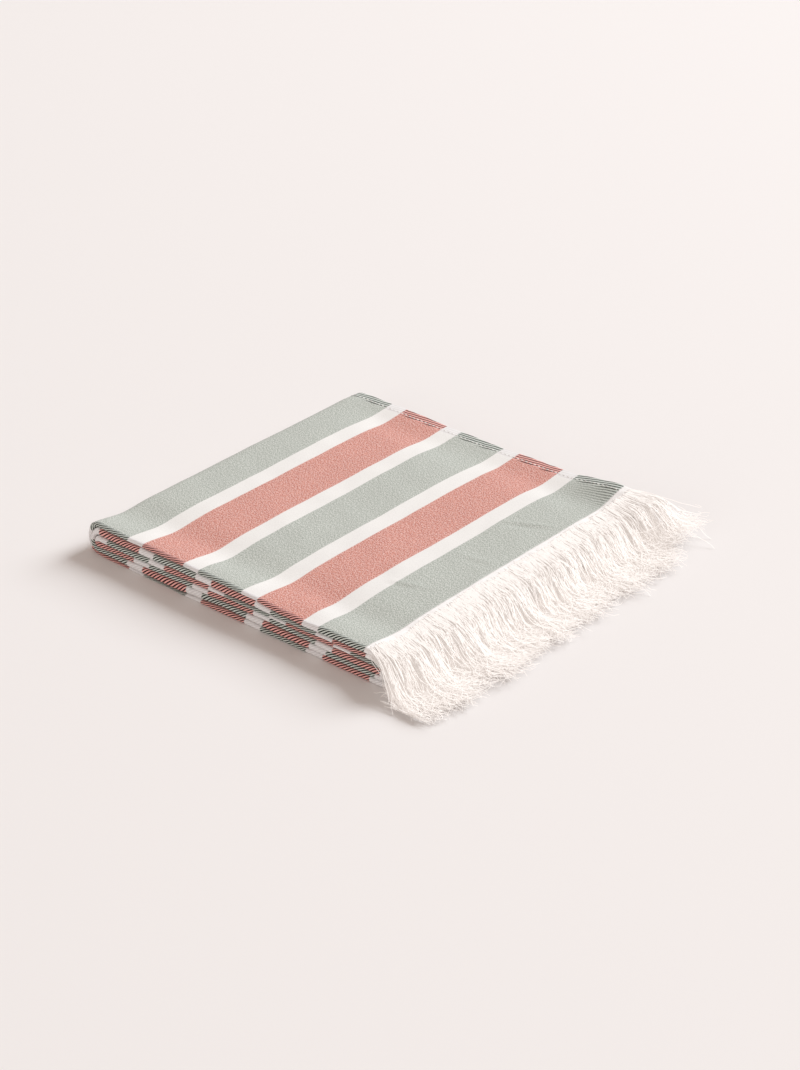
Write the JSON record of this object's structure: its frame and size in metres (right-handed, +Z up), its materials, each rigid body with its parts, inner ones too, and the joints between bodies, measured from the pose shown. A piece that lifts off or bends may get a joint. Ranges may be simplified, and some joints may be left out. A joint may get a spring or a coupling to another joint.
{
  "type": "fouta towel",
  "caption": "Folded flat-woven cotton fouta towel with broad green and coral stripes between white ones, and a long white fringe hanging from its open end.",
  "frame": {"origin": "under the middle of the whole folded towel, on the plane it rests on", "axes": "+X across the stripes towards the fringe, +Y along the stripes from the folded near edge to the hemmed far edge, +Z up"},
  "size_m": [0.3742, 0.35, 0.0306],
  "materials": {
    "striped_cloth": "flat-woven cotton, sage green and coral stripes 45 mm wide between white stripes 16 mm wide, smooth with a fine heathered twill",
    "folded_cloth": "the same cotton at its folds, where slanting twill ribs show dark red and dark green lines",
    "hem_cloth": "the same cotton turned under and stitched with a white thread",
    "fringe": "matt off-white cotton, a plain woven band with loose untwisted warp threads"
  },
  "bodies": {
    "root": {"folded_core": "folded_cloth", "top_panel": "striped_cloth", "side_hem": "hem_cloth", "fringe_top": "fringe", "fringe_under": "fringe"}
  },
  "joints": []
}
